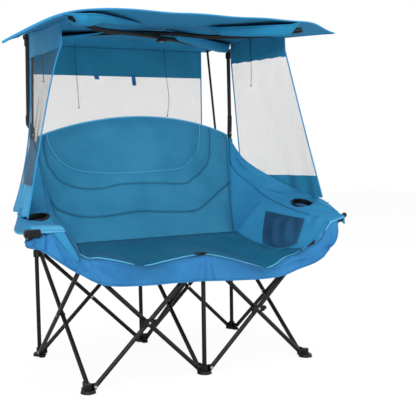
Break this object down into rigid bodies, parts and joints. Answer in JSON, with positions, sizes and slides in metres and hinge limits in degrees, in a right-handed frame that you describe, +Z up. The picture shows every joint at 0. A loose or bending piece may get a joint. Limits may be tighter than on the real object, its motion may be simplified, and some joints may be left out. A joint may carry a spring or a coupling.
{
  "type": "folding camping loveseat",
  "caption": "Folding camping loveseat: black scissor frame on splayed feet, padded blue seat and back, arms with cup holders, cloth canopy on posts with net curtains.",
  "frame": {"origin": "on the floor, at the middle of the sole of the front centre foot, which is the root body", "axes": "+X to the sitter's left as seen from the front (the picture's right), +Y from the front row of feet to the back row, +Z up"},
  "size_m": [1.4971, 0.7896, 1.4277],
  "materials": {
    "black_tube": "semi-gloss powder coat",
    "black_plastic": "satin moulded",
    "cloth": "plain weave",
    "curtain_net": "fine open net",
    "pocket_net": "open net",
    "cord": "braided"
  },
  "bodies": {
    "front_middle_foot": {"foot_front_middle": "black_plastic"},
    "front_bar_middle_to_left": {"bar_front_middle_to_left": "black_tube"},
    "front_bar_left_to_middle": {"bar_front_left_to_middle": "black_tube", "hub_front_left": "black_plastic"},
    "front_left_foot": {"foot_front_left": "black_plastic"},
    "front_bar_middle_to_right": {"bar_front_middle_to_right": "black_tube", "hub_front_right": "black_plastic"},
    "front_bar_right_to_middle": {"bar_front_right_to_middle": "black_tube"},
    "front_right_foot": {"foot_front_right": "black_plastic"},
    "left_bar_front_to_back": {"bar_left_front_to_back": "black_tube"},
    "left_bar_back_to_front": {"bar_left_back_to_front": "black_tube"},
    "back_left_post": {"foot_back_left": "black_plastic", "post_back_left": "black_tube", "coupler_left": "black_plastic", "canopy_post_left": "black_tube", "rear_rod_left": "black_tube", "side_curtain_left": "curtain_net", "tie_cord_left": "cord"},
    "front_left_bracket": {"bracket_front_left": "black_plastic", "arm_tube_left": "black_tube", "arm_left": "cloth", "cup_ring_left": "black_plastic", "cup_well_left": "cloth"},
    "middle_bar_front_to_back": {"bar_middle_front_to_back": "black_tube"},
    "middle_bar_back_to_front": {"bar_middle_back_to_front": "black_tube"},
    "back_middle_post": {"foot_back_middle": "black_plastic", "post_back_middle": "black_tube", "backrest": "cloth", "canopy_roof": "cloth", "rear_curtain": "curtain_net", "tie_cord_rear_left": "cord", "tie_cord_rear_right": "cord"},
    "front_middle_bracket": {"bracket_front_middle": "black_plastic", "post_front_middle": "black_tube", "seat_cushion": "cloth", "front_skirt": "cloth"},
    "right_bar_front_to_back": {"bar_right_front_to_back": "black_tube"},
    "right_bar_back_to_front": {"bar_right_back_to_front": "black_tube"},
    "back_right_post": {"foot_back_right": "black_plastic", "post_back_right": "black_tube", "coupler_right": "black_plastic", "canopy_post_right": "black_tube", "rear_rod_right": "black_tube", "side_curtain_right": "curtain_net", "tie_cord_right": "cord"},
    "front_right_bracket": {"bracket_front_right": "black_plastic", "arm_tube_right": "black_tube", "arm_right": "cloth", "cup_ring_right": "black_plastic", "cup_well_right": "cloth", "net_pocket_right": "pocket_net"},
    "back_bar_middle_to_left": {"bar_back_middle_to_left": "black_tube"},
    "back_left_bracket": {"bracket_back_left": "black_plastic"},
    "back_bar_middle_to_right": {"bar_back_middle_to_right": "black_tube"},
    "back_right_bracket": {"bracket_back_right": "black_plastic"},
    "back_bar_left_to_middle": {"bar_back_left_to_middle": "black_tube"},
    "back_middle_bracket": {"bracket_back_middle": "black_plastic"},
    "back_bar_right_to_middle": {"bar_back_right_to_middle": "black_tube"},
    "canopy_bar_left": {"canopy_bar_from_left": "black_tube"},
    "canopy_bar_right": {"canopy_bar_from_right": "black_tube"}
  },
  "joints": [
    {"name": "fold", "type": "hinge", "parent": "front_middle_foot", "child": "front_bar_middle_to_left", "pos_m": [-0.024, 0, 0.022], "axis": [0, 1, 0], "range_deg": [0, 39], "deforming": ["seat_cushion", "front_skirt", "backrest", "arm_left", "arm_right", "canopy_roof", "rear_curtain", "side_curtain_left", "side_curtain_right", "net_pocket_right"]},
    {"name": "front_left_crossing", "type": "hinge", "parent": "front_bar_middle_to_left", "child": "front_bar_left_to_middle", "pos_m": [-0.25, 0, 0.23925], "axis": [0, 1, 0], "range_deg": [-78, 0]},
    {"name": "front_left_foot_pin", "type": "hinge", "parent": "front_bar_left_to_middle", "child": "front_left_foot", "pos_m": [-0.476, 0, 0.022], "axis": [0, 1, 0], "range_deg": [0, 39]},
    {"name": "front_right_foot_bar_pin", "type": "hinge", "parent": "front_middle_foot", "child": "front_bar_middle_to_right", "pos_m": [0.024, 0, 0.022], "axis": [0, 1, 0], "range_deg": [-39, 0]},
    {"name": "front_right_crossing", "type": "hinge", "parent": "front_bar_middle_to_right", "child": "front_bar_right_to_middle", "pos_m": [0.25, 0, 0.23925], "axis": [0, 1, 0], "range_deg": [0, 78]},
    {"name": "front_right_foot_pin", "type": "hinge", "parent": "front_bar_right_to_middle", "child": "front_right_foot", "pos_m": [0.476, 0, 0.022], "axis": [0, 1, 0], "range_deg": [-39, 0]},
    {"name": "left_side_foot_pin", "type": "hinge", "parent": "front_left_foot", "child": "left_bar_front_to_back", "pos_m": [-0.5, 0.036, 0.022], "axis": [1, 0, 0], "range_deg": [0, 42.9]},
    {"name": "left_side_crossing", "type": "hinge", "parent": "left_bar_front_to_back", "child": "left_bar_back_to_front", "pos_m": [-0.5, 0.3, 0.23925], "axis": [1, 0, 0], "range_deg": [-85.8, 0]},
    {"name": "left_back_foot_pin", "type": "hinge", "parent": "left_bar_back_to_front", "child": "back_left_post", "pos_m": [-0.5, 0.564, 0.022], "axis": [1, 0, 0], "range_deg": [0, 42.9]},
    {"name": "left_front_bracket_pin", "type": "hinge", "parent": "left_bar_back_to_front", "child": "front_left_bracket", "pos_m": [-0.5, 0.036, 0.4565], "axis": [1, 0, 0], "range_deg": [0, 42.9]},
    {"name": "middle_side_foot_pin", "type": "hinge", "parent": "front_middle_foot", "child": "middle_bar_front_to_back", "pos_m": [0, 0.036, 0.022], "axis": [1, 0, 0], "range_deg": [0, 42.9]},
    {"name": "middle_side_crossing", "type": "hinge", "parent": "middle_bar_front_to_back", "child": "middle_bar_back_to_front", "pos_m": [0, 0.3, 0.23925], "axis": [1, 0, 0], "range_deg": [-85.8, 0]},
    {"name": "middle_back_foot_pin", "type": "hinge", "parent": "middle_bar_back_to_front", "child": "back_middle_post", "pos_m": [0, 0.564, 0.022], "axis": [1, 0, 0], "range_deg": [0, 42.9]},
    {"name": "middle_front_bracket_pin", "type": "hinge", "parent": "middle_bar_back_to_front", "child": "front_middle_bracket", "pos_m": [0, 0.036, 0.4565], "axis": [1, 0, 0], "range_deg": [0, 42.9]},
    {"name": "right_side_foot_pin", "type": "hinge", "parent": "front_right_foot", "child": "right_bar_front_to_back", "pos_m": [0.5, 0.036, 0.022], "axis": [1, 0, 0], "range_deg": [0, 42.9]},
    {"name": "right_side_crossing", "type": "hinge", "parent": "right_bar_front_to_back", "child": "right_bar_back_to_front", "pos_m": [0.5, 0.3, 0.23925], "axis": [1, 0, 0], "range_deg": [-85.8, 0]},
    {"name": "right_back_foot_pin", "type": "hinge", "parent": "right_bar_back_to_front", "child": "back_right_post", "pos_m": [0.5, 0.564, 0.022], "axis": [1, 0, 0], "range_deg": [0, 42.9]},
    {"name": "right_front_bracket_pin", "type": "hinge", "parent": "right_bar_back_to_front", "child": "front_right_bracket", "pos_m": [0.5, 0.036, 0.4565], "axis": [1, 0, 0], "range_deg": [0, 42.9]},
    {"name": "back_bar_pin_middle_left", "type": "hinge", "parent": "back_middle_post", "child": "back_bar_middle_to_left", "pos_m": [-0.024, 0.6, 0.022], "axis": [0, 1, 0], "range_deg": [0, 39]},
    {"name": "back_left_bracket_pin", "type": "hinge", "parent": "back_bar_middle_to_left", "child": "back_left_bracket", "pos_m": [-0.476, 0.6, 0.4565], "axis": [0, 1, 0], "range_deg": [-39, 0]},
    {"name": "back_bar_pin_middle_right", "type": "hinge", "parent": "back_middle_post", "child": "back_bar_middle_to_right", "pos_m": [0.024, 0.6, 0.022], "axis": [0, 1, 0], "range_deg": [-39, 0]},
    {"name": "back_right_bracket_pin", "type": "hinge", "parent": "back_bar_middle_to_right", "child": "back_right_bracket", "pos_m": [0.476, 0.6, 0.4565], "axis": [0, 1, 0], "range_deg": [0, 39]},
    {"name": "back_bar_pin_left", "type": "hinge", "parent": "back_left_post", "child": "back_bar_left_to_middle", "pos_m": [-0.476, 0.6, 0.022], "axis": [0, 1, 0], "range_deg": [-39, 0]},
    {"name": "back_middle_bracket_pin", "type": "hinge", "parent": "back_bar_left_to_middle", "child": "back_middle_bracket", "pos_m": [-0.024, 0.6, 0.4565], "axis": [0, 1, 0], "range_deg": [0, 39]},
    {"name": "back_bar_pin_right", "type": "hinge", "parent": "back_right_post", "child": "back_bar_right_to_middle", "pos_m": [0.476, 0.6, 0.022], "axis": [0, 1, 0], "range_deg": [0, 39]},
    {"name": "canopy_bar_swing", "type": "hinge", "parent": "back_left_post", "child": "canopy_bar_left", "pos_m": [-0.506, 0.614, 1.395], "axis": [0, 0, 1], "range_deg": [-47.48, 0]},
    {"name": "canopy_crossing", "type": "hinge", "parent": "canopy_bar_left", "child": "canopy_bar_right", "pos_m": [0, 0.32882, 1.385], "axis": [0, 0, 1], "range_deg": [0, 94.95]}
  ],
  "couplings": [
    {"joint": "front_left_crossing", "follows": "fold", "ratio": -2},
    {"joint": "front_left_foot_pin", "follows": "fold", "ratio": 1},
    {"joint": "front_right_foot_bar_pin", "follows": "fold", "ratio": -1},
    {"joint": "front_right_crossing", "follows": "fold", "ratio": 2},
    {"joint": "front_right_foot_pin", "follows": "fold", "ratio": -1},
    {"joint": "left_side_foot_pin", "follows": "fold", "ratio": 1.1},
    {"joint": "left_side_crossing", "follows": "fold", "ratio": -2.2},
    {"joint": "left_back_foot_pin", "follows": "fold", "ratio": 1.1},
    {"joint": "left_front_bracket_pin", "follows": "fold", "ratio": 1.1},
    {"joint": "middle_side_foot_pin", "follows": "fold", "ratio": 1.1},
    {"joint": "middle_side_crossing", "follows": "fold", "ratio": -2.2},
    {"joint": "middle_back_foot_pin", "follows": "fold", "ratio": 1.1},
    {"joint": "middle_front_bracket_pin", "follows": "fold", "ratio": 1.1},
    {"joint": "right_side_foot_pin", "follows": "fold", "ratio": 1.1},
    {"joint": "right_side_crossing", "follows": "fold", "ratio": -2.2},
    {"joint": "right_back_foot_pin", "follows": "fold", "ratio": 1.1},
    {"joint": "right_front_bracket_pin", "follows": "fold", "ratio": 1.1},
    {"joint": "back_bar_pin_middle_left", "follows": "fold", "ratio": 1},
    {"joint": "back_left_bracket_pin", "follows": "fold", "ratio": -1},
    {"joint": "back_bar_pin_middle_right", "follows": "fold", "ratio": -1},
    {"joint": "back_right_bracket_pin", "follows": "fold", "ratio": 1},
    {"joint": "back_bar_pin_left", "follows": "fold", "ratio": -1},
    {"joint": "back_middle_bracket_pin", "follows": "fold", "ratio": 1},
    {"joint": "back_bar_pin_right", "follows": "fold", "ratio": 1},
    {"joint": "canopy_bar_swing", "follows": "fold", "ratio": -1.2173},
    {"joint": "canopy_crossing", "follows": "fold", "ratio": 2.4346}
  ]
}
